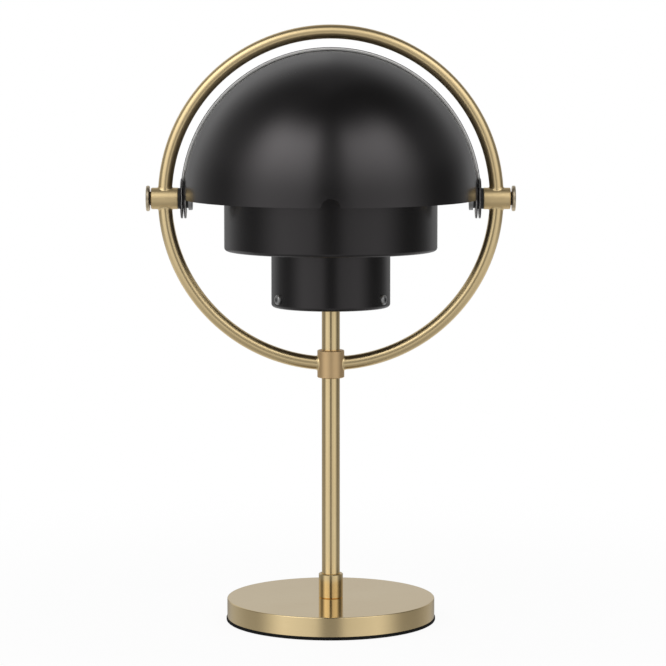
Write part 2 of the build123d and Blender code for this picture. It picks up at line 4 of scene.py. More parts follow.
import bmesh
import bpy
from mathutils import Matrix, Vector


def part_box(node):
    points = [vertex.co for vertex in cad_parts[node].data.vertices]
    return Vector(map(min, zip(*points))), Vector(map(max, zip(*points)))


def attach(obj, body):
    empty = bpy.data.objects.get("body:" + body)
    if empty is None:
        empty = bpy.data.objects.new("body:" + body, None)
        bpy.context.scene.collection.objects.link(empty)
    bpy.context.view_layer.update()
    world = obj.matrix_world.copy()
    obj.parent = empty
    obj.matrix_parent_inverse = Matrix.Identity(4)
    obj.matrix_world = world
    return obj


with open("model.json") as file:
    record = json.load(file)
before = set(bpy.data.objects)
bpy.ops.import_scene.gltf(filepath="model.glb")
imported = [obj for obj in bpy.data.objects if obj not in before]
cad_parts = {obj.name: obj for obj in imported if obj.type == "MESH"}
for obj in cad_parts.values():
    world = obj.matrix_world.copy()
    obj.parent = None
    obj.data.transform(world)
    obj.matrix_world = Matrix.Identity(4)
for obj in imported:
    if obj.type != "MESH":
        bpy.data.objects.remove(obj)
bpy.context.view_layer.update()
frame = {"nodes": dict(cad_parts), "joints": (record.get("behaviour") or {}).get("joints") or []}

# Portable table lamp: satin brass base, stem and ring, black swinging shades, stepped black drum.
# Metres, +Z up, front towards -Y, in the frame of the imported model.

MM = 0.001

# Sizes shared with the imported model
PIVOT = Vector(frame["joints"][0]["pos_m"])
RING = PIVOT
RING_RADIUS = 94.8 * MM
TUBE_RADIUS = 4.0 * MM
BLOCK_RADIUS = 6.15 * MM
RING_COLLAR_RADIUS = 7.75 * MM
BASE_RADIUS = 60.0 * MM
BASE_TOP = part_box("base_shell")[1][2]
SOCKET = Vector((0, 0, 6.3 * MM))
SHADE_SHEET = 0.9 * MM
SHADE_LAP = 1.2 * MM  # a shade's edge past the plane through the pivots
FRONT_SHADE_RADIUS = 84.0 * MM
REAR_SHADE_RADIUS = 86.0 * MM
EAR_INSET = 0.45 * MM

# Camera, from the outlines in the photograph
CAMERA_PLACE = (1.254 * MM, -1.55, 322.156 * MM)
CAMERA_PITCH = math.radians(5.7309)
CAMERA_LENS = 146.62
CAMERA_SENSOR = 36.0


# Node building

NOISE_RANGE = (0.3, 0.7)  # most values of a noise lie between these
MIX_FIRST = 6  # a Mix node's sockets for colours: two inputs and the output
MIX_SECOND = 7
MIX_RESULT = 2


class Tree:
    """Short calls to add and link shader nodes."""

    def __init__(self, tree):
        self.tree = tree

    def node(self, kind, **settings):
        made = self.tree.nodes.new(kind)
        for key, value in settings.items():
            setattr(made, key, value)
        return made

    def put(self, socket, value):
        if isinstance(value, bpy.types.NodeSocket):
            self.tree.links.new(value, socket)
        else:
            socket.default_value = value

    def math(self, operation, *values, clamp=False):
        made = self.node("ShaderNodeMath", operation=operation, use_clamp=clamp)
        for socket, value in zip(made.inputs, values):
            self.put(socket, value)
        return made.outputs[0]

    def add(self, *values):
        total = values[0]
        for value in values[1:]:
            total = self.math("ADD", total, value)
        return total

    def times(self, *values):
        product = values[0]
        for value in values[1:]:
            product = self.math("MULTIPLY", product, value)
        return product

    def vector_math(self, operation, *values):
        made = self.node("ShaderNodeVectorMath", operation=operation)
        for socket, value in zip(made.inputs, values):
            self.put(socket, value)
        return made.outputs["Value" if operation == "LENGTH" else "Vector"]

    def combine(self, x, y, z):
        made = self.node("ShaderNodeCombineXYZ")
        for socket, value in zip(made.inputs, (x, y, z)):
            self.put(socket, value)
        return made.outputs[0]

    def separate(self, vector):
        made = self.node("ShaderNodeSeparateXYZ")
        self.put(made.inputs[0], vector)
        return made.outputs

    def ramp(self, value, low, high, out_low=0.0, out_high=1.0, smooth=False):
        """Map low to out_low and high to out_high, and hold the ends."""
        made = self.node("ShaderNodeMapRange")
        made.interpolation_type = "SMOOTHSTEP" if smooth else "LINEAR"
        for socket, entry in zip(made.inputs, (value, low, high, out_low, out_high)):
            self.put(socket, entry)
        return made.outputs[0]

    def soft_ramp(self, value, *ends):
        return self.ramp(value, *ends, smooth=True)

    def spread(self, noise, out_low=0.0, out_high=1.0):
        """Map the usual range of a noise."""
        return self.ramp(noise, *NOISE_RANGE, out_low, out_high)

    def blend(self, factor, first, second):
        """Number that goes from first to second."""
        return self.ramp(factor, 0.0, 1.0, first, second)

    def mix(self, factor, first, second):
        """Colour that goes from first to second."""
        made = self.node("ShaderNodeMix", data_type="RGBA")
        self.put(made.inputs["Factor"], factor)
        self.put(made.inputs[MIX_FIRST], first)
        self.put(made.inputs[MIX_SECOND], second)
        return made.outputs[MIX_RESULT]

    def noise(self, vector, scale, detail=3.0, rough=0.55):
        made = self.node("ShaderNodeTexNoise")
        self.put(made.inputs["Vector"], vector)
        self.put(made.inputs["Scale"], scale)
        self.put(made.inputs["Detail"], detail)
        self.put(made.inputs["Roughness"], rough)
        return made.outputs[0]

    def cell_edges(self, vector, scale):
        """Distance to the nearest edge of irregular cells."""
        made = self.node("ShaderNodeTexVoronoi", feature="DISTANCE_TO_EDGE")
        self.put(made.inputs["Vector"], vector)
        self.put(made.inputs["Scale"], scale)
        return made.outputs["Distance"]

    def bump(self, height, strength, distance):
        made = self.node("ShaderNodeBump")
        self.put(made.inputs["Height"], height)
        self.put(made.inputs["Strength"], strength)
        self.put(made.inputs["Distance"], distance)
        return made.outputs[0]

    def place(self):
        return self.node("ShaderNodeTexCoord").outputs["Object"]

    def place_from(self, centre):
        return self.vector_math("SUBTRACT", self.place(), tuple(centre))

    def polar(self, axis, centre):
        """Radius, angle and distance along an axis through a point."""
        local = self.separate(self.place_from(centre))
        along = "XYZ".index(axis)
        u, v = [local[i] for i in range(3) if i != along]
        radius = self.math("SQRT", self.add(self.times(u, u), self.times(v, v)))
        return radius, self.math("ARCTAN2", v, u), local[along]


def colour(r, g, b):
    return (r, g, b, 1.0)


def scaled(tone, red, green, blue):
    return colour(red * tone[0], green * tone[1], blue * tone[2])


def material(name):
    made = bpy.data.materials.new(name)
    made.use_nodes = True
    shader = made.node_tree.nodes["Principled BSDF"]
    return made, Tree(made.node_tree), shader


# Brass. Here and below, scales of noises are per metre, a bump is its strength and its distance,
# and any other pair of numbers is the two ends of a range.

BRASS = colour(0.94, 0.745, 0.42)
# Darker, deeper copy of the brass for the base's collar: painted reflection, the colour of light
# bounced off the base's brass top.
BRASS_PAINTED_BOUNCE = colour(0.84, 0.655, 0.355)
# Darker, deeper copy of the brass for the ring's collar: painted shade.
BRASS_PAINTED_SHADE = colour(0.81, 0.585, 0.32)
# Paler copy of the brass for the knobs: painted sheen, standing in for the white they reflect.
BRASS_PAINTED_SHEEN = colour(0.84, 0.72, 0.52)
BRASS_AGE = (0.95, 0.91, 0.86)  # what browning leaves of red, green and blue
LINES_ACROSS = 2600.0
LINES_ALONG = 45.0
BASE_COLLAR_REACH = 7.0 * MM  # radii at which turned lines are as long as LINES_ALONG says
RING_COLLAR_REACH = 8.0 * MM
BLOCK_REACH = 6.0 * MM
KNOB_REACH = 7.0 * MM
BRASS_CLOUD = 26.0
FINGER_MARKS = 75.0
FINGER_MARK_RANGE = (0.56, 0.72)
FINGER_MARK_MATT = 0.03
AGE_FROM_CLOUD = (0.0, 0.55)
AGE_FROM_LINES = (-0.07, 0.1)
BRASS_UNEVEN = (-0.012, 0.018)  # change of roughness by lines, and by clouds
BRASS_BUMP = (0.04, 0.03 * MM)
WALL_ROUGH = 0.2
TOP_ROUGH = 0.09
TOP_EDGE = (BASE_TOP - 0.45 * MM, BASE_TOP - 0.05 * MM)


def lines_along(axis):
    """Straight lines, as drawing leaves them on a tube."""

    def build(tree):
        stretch = [LINES_ALONG if name == axis else LINES_ACROSS for name in "XYZ"]
        return tree.vector_math("MULTIPLY", tree.place(), tuple(stretch))

    return build


def lines_round(axis, centre, reach):
    """Lines that run round an axis, as turning leaves them."""

    def build(tree):
        radius, angle, along = tree.polar(axis, centre)
        return tree.combine(
            tree.times(radius, LINES_ACROSS),
            tree.times(along, LINES_ACROSS),
            tree.times(angle, reach * LINES_ALONG),
        )

    return build


def straight_polish(axis):
    """Direction in which a straight piece spreads its highlights."""

    def build(tree):
        return tree.combine(*[1.0 if name == axis else 0.0 for name in "XYZ"])

    return build


def ring_polish(tree):
    """Direction along the ring's tube."""
    local = tree.separate(tree.place_from(RING))
    return tree.combine(local[2], 0.0, tree.times(local[0], -1.0))


def brass(name, grain, rough, anisotropy=0.0, polish=None, fresh=BRASS):
    """Satin brass: fine lines, faint clouds of age and a few finger marks."""
    made, tree, shader = material(name)
    lines = tree.noise(grain(tree), 1.0, detail=2.0)
    cloud = tree.noise(tree.place(), BRASS_CLOUD, detail=5.0)
    marks = tree.ramp(tree.noise(tree.place(), FINGER_MARKS, detail=4.0), *FINGER_MARK_RANGE)
    age = tree.add(tree.spread(cloud, *AGE_FROM_CLOUD), tree.spread(lines, *AGE_FROM_LINES))
    tree.put(shader.inputs["Base Color"], tree.mix(age, fresh, scaled(fresh, *BRASS_AGE)))
    shader.inputs["Metallic"].default_value = 1.0
    uneven = tree.add(
        tree.spread(lines, *BRASS_UNEVEN),
        tree.spread(cloud, *BRASS_UNEVEN),
        tree.times(marks, FINGER_MARK_MATT),
    )
    tree.put(shader.inputs["Roughness"], tree.add(uneven, rough))
    tree.put(shader.inputs["Normal"], tree.bump(lines, *BRASS_BUMP))
    if polish:
        shader.inputs["Anisotropic"].default_value = anisotropy
        tree.put(shader.inputs["Tangent"], polish(tree))
    return made


def base_brass(name):
    """Brass of the base: satin on the wall and polished on top."""
    grain = lines_round("Z", (0, 0, 0), BASE_RADIUS)
    made = brass(name, grain, rough=0.0, anisotropy=0.6, polish=straight_polish("Z"))
    tree = Tree(made.node_tree)
    rough = made.node_tree.nodes["Principled BSDF"].inputs["Roughness"]
    uneven = rough.links[0].from_socket
    height = tree.separate(tree.place())[2]
    tree.put(rough, tree.add(uneven, tree.ramp(height, *TOP_EDGE, WALL_ROUGH, TOP_ROUGH)))
    return made


# Paint

BLACK = colour(0.0024, 0.0023, 0.0023)
BLACK_WORN = colour(0.0036, 0.0035, 0.0035)
DUST = colour(0.03, 0.029, 0.028)
DUST_SHARE = 0.3
DUST_SCALE = 2600.0
DUST_RANGE = (0.73, 0.8)
ORANGE_PEEL = 1100.0
PAINT_CLOUD = 30.0
PAINT_ROUGH = (0.245, 0.262)
PAINT_UNEVEN = (-0.008, 0.012)
PAINT_BUMP = (0.03, 0.08 * MM)
PAINT_TINT = colour(1.0, 0.946, 0.963)
PAINT_IOR = 1.5
SHADE_GLOSS = 0.82
DRUM_GLOSS = 0.66
WHITE = colour(0.78, 0.77, 0.75)
WHITE_DULL = colour(0.72, 0.71, 0.69)
WHITE_CLOUD = 60.0
WHITE_ROUGH = (0.5, 0.6)
EDGE_WRAP = 0.36 * MM  # black paint carried round onto the sheet's cut edge
EAR_WRAP = 0.08 * MM  # white paint carried out onto the ear's cut edge


def black_paint_look(tree):
    """Colour, roughness and height of satin black paint."""
    orange_peel = tree.noise(tree.place(), ORANGE_PEEL)
    cloud = tree.noise(tree.place(), PAINT_CLOUD, detail=4.0)
    dust = tree.ramp(tree.noise(tree.place(), DUST_SCALE, detail=1.0), *DUST_RANGE)
    tone = tree.mix(tree.spread(cloud), BLACK, BLACK_WORN)
    tone = tree.mix(tree.times(dust, DUST_SHARE), tone, DUST)
    matt = tree.add(tree.spread(orange_peel, *PAINT_ROUGH), tree.spread(cloud, *PAINT_UNEVEN))
    return tone, matt, orange_peel


def finish_paint(tree, shader, height, gloss):
    tree.put(shader.inputs["Normal"], tree.bump(height, *PAINT_BUMP))
    shader.inputs["IOR"].default_value = PAINT_IOR
    shader.inputs["Specular IOR Level"].default_value = gloss
    shader.inputs["Specular Tint"].default_value = PAINT_TINT


def black_paint(name):
    made, tree, shader = material(name)
    tone, matt, height = black_paint_look(tree)
    tree.put(shader.inputs["Base Color"], tone)
    tree.put(shader.inputs["Roughness"], matt)
    finish_paint(tree, shader, height, DRUM_GLOSS)
    return made


def shade_paint(name, radius):
    """Black outside and white inside, told apart by the distance from the pivots' middle."""
    made, tree, shader = material(name)
    ear_inner = radius - EAR_INSET - SHADE_SHEET
    black_tone, matt, height = black_paint_look(tree)
    local = tree.place_from(PIVOT)
    out = tree.math("GREATER_THAN", tree.vector_math("LENGTH", local), radius - EDGE_WRAP)
    sideways = tree.math("ABSOLUTE", tree.separate(local)[0])
    outside = tree.math("MAXIMUM", out, tree.math("GREATER_THAN", sideways, ear_inner + EAR_WRAP))
    mist = tree.noise(tree.place(), WHITE_CLOUD, detail=4.0)
    white_tone = tree.mix(tree.spread(mist), WHITE, WHITE_DULL)
    tree.put(shader.inputs["Base Color"], tree.mix(outside, white_tone, black_tone))
    inside_matt = tree.spread(height, *WHITE_ROUGH)
    tree.put(shader.inputs["Roughness"], tree.blend(outside, inside_matt, matt))
    finish_paint(tree, shader, height, SHADE_GLOSS)
    return made


# Rubber, steel, plastic, lens and boards

RUBBER = colour(0.004, 0.004, 0.004)
RUBBER_GREY = colour(0.008, 0.008, 0.0078)
RUBBER_GRAIN = 2200.0
RUBBER_CLOUD = 45.0
RUBBER_ROUGH = (0.62, 0.8)
RUBBER_BUMP = (0.35, 0.1 * MM)
RUBBER_GLOSS = 0.12

STEEL_GRAIN = 2400.0
STEEL_CLOUD = 120.0
STEEL_DARK = 0.8
STEEL_UNEVEN = (-0.05, 0.07)
STEEL_BUMP = (0.05, 0.03 * MM)

SOCKET_SHELL = colour(0.6, 0.6, 0.61)
SOCKET_TONGUE = colour(0.015, 0.015, 0.015)
SOCKET_CONTACT = colour(0.62, 0.48, 0.24)
SOCKET_GRAIN = 1800.0
SOCKET_ROUGH = (0.24, 0.38)
TONGUE_SIDE = 3.4 * MM  # from the socket's middle, just past the tongue's edge
TONGUE_RISE = 0.5 * MM  # and just past its face
CONTACT_PITCH = 0.8 * MM
CONTACT_LEVEL = 0.3  # of a sine wave, above which a contact lies
CONTACT_RISE = 0.33 * MM  # just short of the tongue's face, where the contacts are

PLASTIC_GRAIN = 1600.0
PLASTIC_CLOUD = 80.0
PLASTIC_DARK = 0.85
PLASTIC_UNEVEN = (-0.05, 0.06)
PLASTIC_BUMP = (0.15, 0.05 * MM)

OPAL = colour(0.83, 0.82, 0.78)
OPAL_WARM = colour(0.78, 0.765, 0.72)
OPAL_GRAIN = 1400.0
OPAL_CLOUD = 55.0
OPAL_ROUGH = (0.32, 0.42)
OPAL_BUMP = (0.08, 0.05 * MM)

BOARD_CELLS = 260.0
BOARD_LINE = (0.03, 0.05)  # half width of a copper line, without its soft edge and with it, in cells
BOARD_CLOUD = 90.0
BOARD_TRACE_SHARE = 0.6
BOARD_STAIN = colour(0.02, 0.03, 0.02)
BOARD_STAIN_RANGE = (0.4, 0.7, 0.0, 0.25)
BOARD_ROUGH = (0.28, 0.4)
BOARD_BUMP = (0.2, 0.03 * MM)


def rubber(name):
    made, tree, shader = material(name)
    grain = tree.noise(tree.place(), RUBBER_GRAIN)
    cloud = tree.noise(tree.place(), RUBBER_CLOUD)
    tree.put(shader.inputs["Base Color"], tree.mix(tree.spread(cloud), RUBBER, RUBBER_GREY))
    tree.put(shader.inputs["Roughness"], tree.spread(grain, *RUBBER_ROUGH))
    tree.put(shader.inputs["Normal"], tree.bump(grain, *RUBBER_BUMP))
    shader.inputs["Specular IOR Level"].default_value = RUBBER_GLOSS
    return made


def steel(name, tone, rough):
    made, tree, shader = material(name)
    grain = tree.noise(tree.place(), STEEL_GRAIN)
    cloud = tree.noise(tree.place(), STEEL_CLOUD)
    dark = scaled(tone, STEEL_DARK, STEEL_DARK, STEEL_DARK)
    tree.put(shader.inputs["Base Color"], tree.mix(tree.spread(cloud), tone, dark))
    shader.inputs["Metallic"].default_value = 1.0
    uneven = [rough + change for change in STEEL_UNEVEN]
    tree.put(shader.inputs["Roughness"], tree.spread(grain, *uneven))
    tree.put(shader.inputs["Normal"], tree.bump(grain, *STEEL_BUMP))
    return made


def socket_steel(name):
    """Steel shell with a dark contact tongue inside."""
    made, tree, shader = material(name)
    local = tree.separate(tree.place_from(SOCKET))
    narrow = tree.math("LESS_THAN", tree.math("ABSOLUTE", local[0]), TONGUE_SIDE)
    tall = tree.math("ABSOLUTE", local[2])
    tongue = tree.times(narrow, tree.math("LESS_THAN", tall, TONGUE_RISE))
    wave = tree.math("SINE", tree.times(local[0], 2 * math.pi / CONTACT_PITCH))
    stripe = tree.math("GREATER_THAN", wave, CONTACT_LEVEL)
    contacts = tree.times(stripe, tree.math("GREATER_THAN", tall, CONTACT_RISE))
    grain = tree.noise(tree.place(), SOCKET_GRAIN)
    dark = tree.mix(contacts, SOCKET_TONGUE, SOCKET_CONTACT)
    tree.put(shader.inputs["Base Color"], tree.mix(tongue, SOCKET_SHELL, dark))
    shell = tree.math("SUBTRACT", 1.0, tongue)
    tree.put(shader.inputs["Metallic"], tree.math("MAXIMUM", shell, contacts))
    tree.put(shader.inputs["Roughness"], tree.spread(grain, *SOCKET_ROUGH))
    return made


def plastic(name, tone, rough):
    made, tree, shader = material(name)
    grain = tree.noise(tree.place(), PLASTIC_GRAIN)
    cloud = tree.noise(tree.place(), PLASTIC_CLOUD)
    dark = scaled(tone, PLASTIC_DARK, PLASTIC_DARK, PLASTIC_DARK)
    tree.put(shader.inputs["Base Color"], tree.mix(tree.spread(cloud), tone, dark))
    uneven = [rough + change for change in PLASTIC_UNEVEN]
    tree.put(shader.inputs["Roughness"], tree.spread(grain, *uneven))
    tree.put(shader.inputs["Normal"], tree.bump(grain, *PLASTIC_BUMP))
    return made


def opal(name):
    made, tree, shader = material(name)
    cloud = tree.noise(tree.place(), OPAL_CLOUD, detail=4.0)
    grain = tree.noise(tree.place(), OPAL_GRAIN, detail=2.0)
    tree.put(shader.inputs["Base Color"], tree.mix(tree.spread(cloud), OPAL, OPAL_WARM))
    tree.put(shader.inputs["Roughness"], tree.spread(grain, *OPAL_ROUGH))
    tree.put(shader.inputs["Normal"], tree.bump(grain, *OPAL_BUMP))
    return made


def circuit(name, mask, trace):
    """Circuit board: solder mask with copper lines under it."""
    made, tree, shader = material(name)
    lines = tree.ramp(tree.cell_edges(tree.place(), BOARD_CELLS), *BOARD_LINE, 1.0, 0.0)
    cloud = tree.noise(tree.place(), BOARD_CLOUD)
    tint = tree.mix(tree.times(lines, BOARD_TRACE_SHARE), mask, trace)
    tint = tree.mix(tree.ramp(cloud, *BOARD_STAIN_RANGE), tint, BOARD_STAIN)
    tree.put(shader.inputs["Base Color"], tint)
    tree.put(shader.inputs["Roughness"], tree.spread(cloud, *BOARD_ROUGH))
    tree.put(shader.inputs["Normal"], tree.bump(lines, *BOARD_BUMP))
    return made


# Materials and the nodes that carry them

stem_lines = lines_along("Z")
ring_lines = lines_round("Y", RING, RING_RADIUS)
base_collar_lines = lines_round("Z", (0, 0, 0), BASE_COLLAR_REACH)
ring_collar_lines = lines_round("Z", (0, 0, 0), RING_COLLAR_REACH)
block_lines = lines_round("X", PIVOT, BLOCK_REACH)
knob_lines = lines_round("X", PIVOT, KNOB_REACH)
along_stem = straight_polish("Z")
along_pivots = straight_polish("X")

brass_stem = brass("brass_stem", stem_lines, rough=0.2, anisotropy=0.7, polish=along_stem)
brass_bow = brass("brass_bow", ring_lines, rough=0.34, anisotropy=0.6, polish=ring_polish)
brass_ring = brass("brass_ring", ring_lines, rough=0.28, anisotropy=0.6, polish=ring_polish)
brass_base = base_brass("brass_base")
# The base's collar takes a darker, deeper copy of the brass: painted reflection.
brass_collar = brass("brass_collar", base_collar_lines, rough=0.12, fresh=BRASS_PAINTED_BOUNCE)
# The ring's collar takes a darker, deeper copy of the brass: painted shade.
brass_soft = brass("brass_soft", ring_collar_lines, rough=0.44, fresh=BRASS_PAINTED_SHADE)
brass_pivot = brass("brass_pivot", block_lines, rough=0.5, anisotropy=0.5, polish=along_pivots)
# The knobs take a paler copy of the brass: painted sheen.
brass_knob = brass("brass_knob", knob_lines, rough=0.34, fresh=BRASS_PAINTED_SHEEN)
brass_braze = brass("brass_braze", stem_lines, rough=0.3)
black = black_paint("black_paint")
front_paint = shade_paint("front_shade_paint", FRONT_SHADE_RADIUS)
rear_paint = shade_paint("rear_shade_paint", REAR_SHADE_RADIUS)
rubber_black = rubber("foot_rubber")
steel_bright = steel("bright_steel", colour(0.43, 0.43, 0.43), rough=0.32)
steel_plain = steel("plain_steel", colour(0.4, 0.4, 0.41), rough=0.42)
aluminium = steel("milled_aluminium", colour(0.72, 0.72, 0.73), rough=0.33)
foil = steel("battery_foil", colour(0.6, 0.61, 0.63), rough=0.36)
port_steel = socket_steel("socket_steel")
nylon_black = plastic("black_nylon", colour(0.014, 0.014, 0.014), rough=0.5)
nylon_white = plastic("white_nylon", colour(0.8, 0.8, 0.78), rough=0.5)
# Pale grey for the strip in the gap between the shades: painted light where that gap lies in shade.
painted_light_grey = plastic("painted_light_grey", colour(0.42, 0.42, 0.41), rough=0.75)
jacket = plastic("cable_jacket", colour(0.018, 0.018, 0.018), rough=0.6)
phosphor = plastic("lamp_phosphor", colour(0.8, 0.6, 0.16), rough=0.4)
opal_lens = opal("opal_acrylic")
board_green = circuit("green_board", colour(0.01, 0.11, 0.04), colour(0.05, 0.26, 0.1))
board_white = circuit("white_board", colour(0.78, 0.78, 0.76), colour(0.66, 0.66, 0.64))

looks = {
    brass_stem: ["stem_tube"],
    brass_bow: ["ring_upper_arc"],
    brass_ring: ["ring_left_arc", "ring_right_arc"],
    brass_base: ["base_shell"],
    brass_collar: ["base_collar"],
    brass_soft: ["ring_collar"],
    brass_pivot: ["left_pivot_block", "right_pivot_block"],
    brass_knob: ["left_tension_knob", "right_tension_knob"],
    black: ["drum", "lower_cup", "upper_cup"],
    front_paint: ["front_shade"],
    rear_paint: ["rear_shade"],
    rubber_black: ["foot_pad"],
    steel_bright: [
        "lower_cup_screws", "upper_cup_screws", "bracket_screws", "plate_screws",
        "collar_grub_screw", "left_pivot_stud", "right_pivot_stud", "collar_nut", "hub_nut",
        "hub_standoffs", "core_standoffs", "upper_standoffs",
    ],
    steel_plain: ["base_plate", "ballast_ring"],
    port_steel: ["charge_socket"],
    aluminium: ["stem_hub", "carrier_plate", "upper_bracket"],
    foil: ["battery_pack"],
    nylon_black: [
        "knob_washers", "pivot_spacers", "friction_washers", "inner_washers", "dimmer_button",
        "button_switch", "stem_connector",
    ],
    jacket: ["stem_cable", "led_cable", "battery_leads"],
    opal_lens: ["lower_ring_lens", "upper_ring_lens", "top_lens"],
    nylon_white: ["lens_posts"],
    board_green: ["control_board", "driver_board"],
    board_white: ["lower_led_board", "upper_led_board", "top_led_board"],
    phosphor: ["lower_leds", "upper_leds", "top_leds"],
}
for look, names in looks.items():
    for node_name in names:
        mesh = frame["nodes"][node_name].data
        mesh.materials.clear()
        mesh.materials.append(look)

# The satin paint is too soft to mirror the thin ring
for arc in looks[brass_bow] + looks[brass_ring]:
    frame["nodes"][arc].visible_glossy = False


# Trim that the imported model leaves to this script


def bridge(form, row, after):
    """Faces between two closed sections, in order round the section."""
    count = len(row)
    faces = []
    for j in range(count):
        k = (j + 1) % count
        faces.append(form.faces.new((row[j], row[k], after[k], after[j])))
    return faces


def add_object(name, form, look):
    """Object made from a finished form."""
    mesh = bpy.data.meshes.new(name)
    form.to_mesh(mesh)
    form.free()
    mesh.materials.append(look)
    made = bpy.data.objects.new(name, mesh)
    bpy.context.scene.collection.objects.link(made)
    return made


# Braze fillets, where the ring's tube meets the pivot blocks and the collar

BRAZE_LENGTH = 1.1 * MM  # along the tube
BRAZE_WIDTH = 0.9 * MM  # out over the seat
BRAZE_NARROW = 0.4  # share of that width left at the tube's front and back
BRAZE_ROOT = 0.4 * MM  # into both pieces, so that the fillet is closed behind
BRAZE_STEPS = 8
BRAZE_TURNS = 72


def block_seat(side, up):
    """Point near the tube's joint with a pivot block: turn about the tube, along it and out from it."""

    def point(turn, along, out):
        reach = TUBE_RADIUS + out
        y = reach * math.sin(turn)
        z = PIVOT.z + up * (math.sqrt(BLOCK_RADIUS**2 - y**2) + along)
        arm = RING_RADIUS + reach * math.cos(turn)
        return Vector((side * math.sqrt(arm**2 - (z - RING.z) ** 2), y, z))

    return point


def collar_seat(side):
    """Point near the tube's joint with the collar: turn about the tube, along it and out from it."""

    def point(turn, along, out):
        reach = TUBE_RADIUS + out
        y = reach * math.sin(turn)
        x = math.sqrt(RING_COLLAR_RADIUS**2 - y**2) + along
        arm = RING_RADIUS + reach * math.cos(turn)
        return Vector((side * x, y, RING.z - math.sqrt(arm**2 - x**2)))

    return point


def braze_section(point, turn):
    """Closed section of the fillet: a hollow curve outside, square inside the two pieces."""
    width = BRAZE_WIDTH * (BRAZE_NARROW + (1 - BRAZE_NARROW) * math.cos(turn) ** 2)
    start = point(turn, BRAZE_LENGTH, 0)
    corner = point(turn, 0, 0)
    end = point(turn, 0, width)
    section = []
    for i in range(BRAZE_STEPS + 1):
        s = i / BRAZE_STEPS
        section.append((1 - s) ** 2 * start + 2 * s * (1 - s) * corner + s**2 * end)
    section.append(point(turn, -BRAZE_ROOT, width))
    section.append(point(turn, -BRAZE_ROOT, -BRAZE_ROOT))
    section.append(point(turn, BRAZE_LENGTH, -BRAZE_ROOT))
    return section


def make_braze(name, point):
    form = bmesh.new()
    rows = []
    for i in range(BRAZE_TURNS):
        section = braze_section(point, 2 * math.pi * i / BRAZE_TURNS)
        rows.append([form.verts.new(place) for place in section])
    for i, row in enumerate(rows):
        for j, face in enumerate(bridge(form, row, rows[(i + 1) % BRAZE_TURNS])):
            face.smooth = j < BRAZE_STEPS
    bmesh.ops.recalc_face_normals(form, faces=form.faces)
    piece = add_object(name, form, brass_braze)
    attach(piece, "stand")


for side_name, side in (("left", -1), ("right", 1)):
    make_braze(f"{side_name}_upper_braze", block_seat(side, 1))
    make_braze(f"{side_name}_lower_braze", block_seat(side, -1))
    make_braze(f"{side_name}_collar_braze", collar_seat(side))


# Pale grey strip along the rear shade's edge, in the gap between the two shades: painted light, filling
# with a pale band the gap that would lie in shade

LIGHT_STRIP_THICK = 0.7 * MM
LIGHT_STRIP_DEEP = 2.2 * MM  # back from the sheet's cut edge
LIGHT_STRIP_SINK = 0.04 * MM  # of the strip's front behind that edge
LIGHT_STRIP_END = math.radians(11.0)  # from the pivots' line to the seal's ends
LIGHT_STRIP_STEPS = 160


def light_strip_section(turn):
    """Corners of the strip's section, at a turn along the shade's edge."""
    outer = REAR_SHADE_RADIUS - SHADE_SHEET
    inner = outer - LIGHT_STRIP_THICK
    front = (SHADE_LAP - LIGHT_STRIP_SINK) / REAR_SHADE_RADIUS
    back = (SHADE_LAP - LIGHT_STRIP_DEEP) / REAR_SHADE_RADIUS
    section = []
    for radius, tip in ((inner, front), (outer, front), (outer, back), (inner, back)):
        arm = radius * math.sin(turn)
        offset = Vector((radius * math.cos(turn), -arm * math.sin(tip), arm * math.cos(tip)))
        section.append(PIVOT + offset)
    return section


def make_light_strip():
    form = bmesh.new()
    rows = []
    for i in range(LIGHT_STRIP_STEPS + 1):
        turn = LIGHT_STRIP_END + (math.pi - 2 * LIGHT_STRIP_END) * i / LIGHT_STRIP_STEPS
        rows.append([form.verts.new(place) for place in light_strip_section(turn)])
    for row, after in zip(rows, rows[1:]):
        bridge(form, row, after)
    form.faces.new(rows[0])
    form.faces.new(rows[-1])
    bmesh.ops.recalc_face_normals(form, faces=form.faces)
    piece = add_object("rear_edge_light_strip", form, painted_light_grey)
    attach(piece, "rear_shade")


make_light_strip()


# Floor

FLOOR_RADIUS = 1.6
FLOOR_SEGMENTS = 96
FLOOR_DROP = 0.3 * MM
FLOOR_COLOUR = colour(0.9, 0.9, 0.9)
FLOOR_ROUGH = 0.9
FLOOR_NEAR = 0.93  # share of plain white close to the lamp, the rest keeps its shadow
FLOOR_PALE = (0.1, 0.5)  # distances over which the floor turns plain white


def floor_look(name):
    made, tree, shader = material(name)
    shader.inputs["Base Color"].default_value = FLOOR_COLOUR
    shader.inputs["Roughness"].default_value = FLOOR_ROUGH
    radius, _, _ = tree.polar("Z", (0, 0, 0))
    seen = tree.node("ShaderNodeLightPath").outputs["Is Camera Ray"]
    share = tree.times(seen, tree.soft_ramp(radius, *FLOOR_PALE, FLOOR_NEAR, 1.0))
    glow = tree.node("ShaderNodeEmission")
    blend = tree.node("ShaderNodeMixShader")
    tree.put(blend.inputs[0], share)
    tree.put(blend.inputs[1], shader.outputs[0])
    tree.put(blend.inputs[2], glow.outputs[0])
    tree.put(made.node_tree.nodes["Material Output"].inputs["Surface"], blend.outputs[0])
    return made


def make_floor():
    form = bmesh.new()
    bmesh.ops.create_circle(form, cap_ends=True, radius=FLOOR_RADIUS, segments=FLOOR_SEGMENTS)
    floor = add_object("floor", form, floor_look("pale_floor"))
    floor.location.z = -FLOOR_DROP
    floor.visible_glossy = False
    floor.visible_diffuse = False
    floor.visible_shadow = False


# Light. It comes from the world alone. A turn is in degrees from the camera's side of the lamp, to
# the right or left. A height is the z of a direction, from -1 below to 1 above, and a depth is its y,
# from -1 in front to 1 behind. Four numbers are a ramp: from, to, and the values at these two.

RIGHT_EDGE = (-8.0, 8.0)  # turns over which left passes into right

